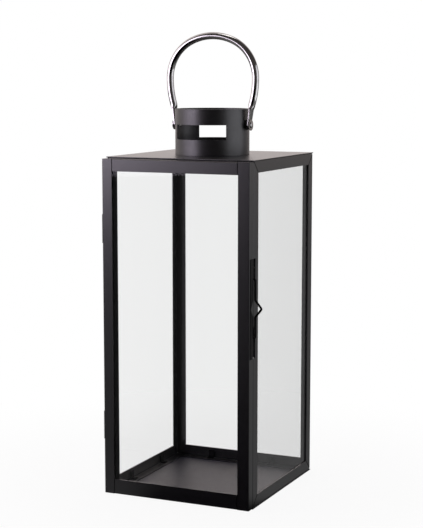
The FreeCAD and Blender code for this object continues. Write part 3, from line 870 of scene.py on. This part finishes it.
def makeBail():
    low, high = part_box("left_handle_rivet")
    pivot = Vector((0, 0, (low.z + high.z) / 2))
    foot, legTurn, arcs = bailArcs()
    clearSelection()
    bpy.ops.mesh.primitive_circle_add(vertices=bail["sides"], radius=bail["bar"], rotation=(0, -legTurn, 0),
                                      location=pivot + Vector((-foot.x, 0, foot.z)))
    bar = begin("bail_handle_bar")
    pickAll(bar)
    for across, up, turn, steps in arcs:
        spinRing(pivot + Vector((across, 0, up)), yAxis, turn, steps)
    for side in (-1, 1):
        drawOutEnd(bar, pivot, foot, side)
    closeUp(bar)
    smooth(bar, angle=60)
    finishPiece(bar, polishedSteel, "handle", "bail_handle")


def drawOutEnd(bar, pivot, foot, side):
    # rings from the round bar down to the rounded tip of the flat, each one extruded and then shaped
    lean = math.radians(bail["lean"])
    thick, wide, long = bail["tabThick"] / 2, bail["tabWide"] / 2, bail["tabLong"]
    radius, boxy = bail["bar"], bail["boxy"]
    rings = [(long + bail["fold"] * along, radius + (thick - radius) * flat, radius + (wide - radius) * flat,
              bail["round"] + (boxy - bail["round"]) * flat) for along, flat in bail["drawn"]]
    rings += [(long / 2, thick, wide, boxy), (0.0, thick, wide, boxy)]
    rings += [(-wide * math.sin(turn), thick * (1 - bail["tipThin"] * (turn / bail["tipTurns"][-1]) ** 4),
               max(wide * math.cos(turn), bail["tipLeast"]), boxy) for turn in bail["tipTurns"]]
    edge = foot.z
    end = pivot + Vector((side * foot.x, 0, foot.z))
    pick(bar, "VERT", lambda co: co.x * side > 0 and abs((co - end).length - radius) < within["ring"])
    for up, halfThick, halfWide, square in rings:
        bpy.ops.mesh.extrude_region_move(TRANSFORM_OT_translate={"value": (0, 0, up - edge)})
        edge = up
        shapeRing(bar, pivot, side, lean, up, halfThick, halfWide, square)


def shapeRing(bar, pivot, side, lean, up, halfThick, halfWide, square):
    # the selected ring becomes a flattened section across the leaning tab
    bpy.ops.object.mode_set(mode="OBJECT")
    ring = [v for v in bar.data.vertices if v.select]
    centreNow = sum((v.co for v in ring), Vector()) / len(ring)
    centre = pivot + Vector((side * tabMiddle(up), 0, up))
    tilt = Vector((math.cos(lean), 0, -math.sin(lean)))
    for vert in ring:
        away = vert.co - centreNow
        angle = math.atan2(away.y, away.x * side)
        c, s = math.cos(angle), math.sin(angle)
        across = math.copysign(abs(c) ** (2 / square), c) * halfThick
        deep = math.copysign(abs(s) ** (2 / square), s) * halfWide
        vert.co = centre + Vector((side * tilt.x * across, deep, tilt.z * across))
    bpy.ops.object.mode_set(mode="EDIT")


makeBail()
print("bail spun and flattened")


# rivets and washers on the pivot line

rivetHead = {"shank": 0.002, "head": 0.00375, "crown": 0.0016, "sides": 40,
             "dome": ((0.35, 1.0), (0.3, 0.88), (0.22, 0.75), (0.13, 0.5))}  # share of the crown, shrink


def makeRivets():
    for name, side in (("left", -1), ("right", 1)):
        low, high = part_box(f"{name}_handle_rivet")
        near, far = (low.x, high.x) if side > 0 else (high.x, low.x)
        z = (low.z + high.z) / 2
        clearSelection()
        bpy.ops.mesh.primitive_cylinder_add(vertices=rivetHead["sides"], radius=rivetHead["shank"],
                                            depth=abs(far - near) - 2 * rivetHead["crown"],
                                            location=((near + far) / 2, 0, z), rotation=(0, math.pi / 2, 0))
        rivet = begin(f"{name}_handle_rivet_stem")
        for outward in (1, -1):
            # swell the end into a head, then dome it ring by ring
            pick(rivet, "FACE", lambda co, n: n.x * side * outward > facing["flat"])
            tip = far if outward > 0 else near
            centre = (tip - side * outward * rivetHead["crown"], 0, z)
            bpy.ops.mesh.extrude_region_move()
            grow = rivetHead["head"] / rivetHead["shank"]
            bpy.ops.transform.resize(value=(1, grow, grow), center_override=centre)
            for step, shrink in rivetHead["dome"]:
                bpy.ops.mesh.extrude_region_move(
                    TRANSFORM_OT_translate={"value": (side * outward * step * rivetHead["crown"], 0, 0)})
                bpy.ops.transform.resize(value=(1, shrink, shrink), center_override=centre)
        bpy.ops.object.mode_set(mode="OBJECT")
        smooth(rivet, angle=50)
        finishPiece(rivet, polishedSteel, "lantern_body", f"{name}_handle_rivet")


washerRing = {"bore": 0.00205, "edge": 0.0002, "sides": 48}


def makeWashers():
    for name in ("left", "right"):
        node = f"{name}_handle_washer"
        low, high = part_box(node)
        clearSelection()
        radius = (high.z - low.z) / 2
        bpy.ops.mesh.primitive_cylinder_add(vertices=washerRing["sides"], radius=radius, depth=high.x - low.x,
                                            location=tuple((low + high) / 2), rotation=(0, math.pi / 2, 0))
        washer = begin(node + "_ring")
        boreOut(washer, 0, radius - washerRing["bore"])
        breakEdges(washer, washerRing["edge"], angle=50)
        smooth(washer)
        finishPiece(washer, washerFibre, "lantern_body", node)


makeRivets()
makeWashers()
print("rivets and washers set")


# stage: pale floor, white surroundings, soft lamps

paleFloor = {"size": 14.0, "drop": 0.0002, "colour": (0.82, 0.82, 0.82), "rough": 0.8,
             "fade": (0.12, 0.55), "shadowShare": 0.07,
             "lightTowards": [((0.9, 0.44, 0), (0.3, 0.75), 0.21), ((-1, 0, 0), (0.2, 0.6), 0.15)]}


def seenWhite(owner):
    # 1 for the camera's own view, straight or through glass, and 0 for what the metal reflects
    path = addNode(owner, "ShaderNodeLightPath")
    through = addNode(owner, "ShaderNodeMath", operation="SUBTRACT", use_clamp=True)
    seen = addNode(owner, "ShaderNodeMath", operation="MAXIMUM")
    wire(owner, path.outputs["Is Transmission Ray"], through.inputs[0])
    wire(owner, path.outputs["Glossy Depth"], through.inputs[1])
    wire(owner, path.outputs["Is Camera Ray"], seen.inputs[0])
    wire(owner, through.outputs[0], seen.inputs[1])
    return seen.outputs[0]


def floorSeen(material):
    # white to the camera, apart from the object's own shadow close by
    away = addNode(material, "ShaderNodeVectorMath", operation="LENGTH")
    wire(material, addNode(material, "ShaderNodeTexCoord").outputs["Object"], away.inputs[0])
    nearby = 1 - paleFloor["shadowShare"]
    fade = rampOf(material, away.outputs["Value"], paleFloor["fade"], nearby, 1.0, "SMOOTHSTEP")
    share = addNode(material, "ShaderNodeMath", operation="MULTIPLY")
    wire(material, seenWhite(material), share.inputs[0])
    wire(material, fade, share.inputs[1])
    return share.outputs[0]


def floorPaintedReflection(material):
    # painted reflection: to rays reflected off the metal the floor glows, lighter to the right rear and to
    # the left, and dark in front
    heading = addNode(material, "ShaderNodeVectorMath", operation="NORMALIZE")
    wire(material, addNode(material, "ShaderNodeTexCoord").outputs["Object"], heading.inputs[0])
    level = addNode(material, "ShaderNodeMath", operation="ADD")
    for index, (direction, span, strength) in enumerate(paleFloor["lightTowards"]):
        towards = addNode(material, "ShaderNodeVectorMath", operation="DOT_PRODUCT")
        towards.inputs[1].default_value = direction
        wire(material, heading.outputs[0], towards.inputs[0])
        rise = rampOf(material, towards.outputs["Value"], span, 0.0, strength, "SMOOTHSTEP")
        wire(material, rise, level.inputs[index])
    reflectionGlow = addNode(material, "ShaderNodeEmission")
    wire(material, level.outputs[0], reflectionGlow.inputs["Strength"])
    return reflectionGlow.outputs[0]


def makeFloor():
    clearSelection()
    bpy.ops.mesh.primitive_plane_add(size=paleFloor["size"], location=(0, 0, -paleFloor["drop"]))
    floor = begin("paleFloor")
    material, shader, output = newMaterial("paleFloor")
    shader.inputs["Base Color"].default_value = (*paleFloor["colour"], 1)
    shader.inputs["Roughness"].default_value = paleFloor["rough"]
    bounced = addNode(material, "ShaderNodeMath", operation="MINIMUM")
    bounced.inputs[1].default_value = 1.0
    wire(material, addNode(material, "ShaderNodeLightPath").outputs["Glossy Depth"], bounced.inputs[0])
    # reflected rays see the painted floor glow instead of the lit floor
    ground = blend(material, bounced.outputs[0], shader.outputs[0], floorPaintedReflection(material))
    glow = addNode(material, "ShaderNodeEmission").outputs[0]
    wire(material, blend(material, floorSeen(material), ground, glow), output.inputs[0])
    floor.data.materials.append(material)


room = {"brightest": (-0.68, 0.72, 0.15), "front": 0.05, "rear": 1.12, "warm": (1.0, 0.905, 0.885)}


def makeWorld():
    # white to the camera; the metal sees a room that is bright behind and to the left, and dim in front
    world = bpy.data.worlds.new("whiteRoom")
    bpy.context.scene.world = world
    world.use_nodes = True
    world.node_tree.nodes.clear()
    output = addNode(world, "ShaderNodeOutputWorld")
    white = addNode(world, "ShaderNodeBackground")
    white.inputs["Color"].default_value = (1, 1, 1, 1)
    dim = addNode(world, "ShaderNodeBackground")
    dim.inputs["Color"].default_value = (*room["warm"], 1)
    towards = addNode(world, "ShaderNodeVectorMath", operation="DOT_PRODUCT")
    towards.inputs[1].default_value = Vector(room["brightest"]).normalized()
    wire(world, addNode(world, "ShaderNodeTexCoord").outputs["Generated"], towards.inputs[0])
    fade = rampOf(world, towards.outputs["Value"], (0.0, 1.0), room["front"], room["rear"], "SMOOTHSTEP")
    wire(world, fade, dim.inputs["Strength"])
    wire(world, blend(world, seenWhite(world), dim.outputs[0], white.outputs[0]), output.inputs[0])


lamps = [  # name, place, aim, width, height, watts, colour
    ("keyLeft", (-0.80, -0.68, 0.66), (-0.02, -0.02, 0.52), 0.85, 0.62, 2.9, (1.0, 0.90, 1.07)),
    ("frontLeft", (-0.76, -1.06, 0.55), (-0.05, -0.1, 0.46), 0.60, 0.46, 1.5, (1.0, 0.90, 1.07)),
    ("topSoft", (-0.1, 0.05, 2.0), (0, 0, 0.3), 0.9, 0.34, 1.8, (1.0, 0.98, 0.97)),
    ("sideRight", (1.25, 0.22, 0.55), (0.0, 0.0, 0.45), 1.5, 1.0, 3.9, (0.97, 0.97, 1.04)),
]


def makeLamps():
    for name, place, aim, width, height, watts, colour in lamps:
        lamp = bpy.data.lights.new(name, "AREA")
        lamp.shape = "RECTANGLE"
        lamp.size, lamp.size_y = width, height
        lamp.energy = watts
        lamp.color = colour
        holder = bpy.data.objects.new(name, lamp)
        bpy.context.scene.collection.objects.link(holder)
        holder.location = place
        holder.visible_transmission = False  # no lamp shows in or through the glass
        holder.rotation_euler = (Vector(aim) - Vector(place)).to_track_quat("-Z", "Y").to_euler()


shot = {"azimuth": 24.42, "distance": 1.854, "height": 0.5300, "pitch": 7.473,
        "sensor": 36, "lens": 98.64, "shift": -0.0017}


def makeCamera():
    camera = bpy.data.cameras.new("photoCamera")
    camera.sensor_width = shot["sensor"]
    camera.lens = shot["lens"]
    camera.shift_x = shot["shift"]
    holder = bpy.data.objects.new("photoCamera", camera)
    bpy.context.scene.collection.objects.link(holder)
    turn = math.radians(shot["azimuth"])
    holder.location = (math.sin(turn) * shot["distance"], -math.cos(turn) * shot["distance"], shot["height"])
    holder.rotation_euler = (math.radians(90 - shot["pitch"]), 0, turn)
    bpy.context.scene.camera = holder


makeFloor()
makeWorld()
makeLamps()
makeCamera()
bpy.context.scene.view_settings.view_transform = "Standard"
print("stage lit")
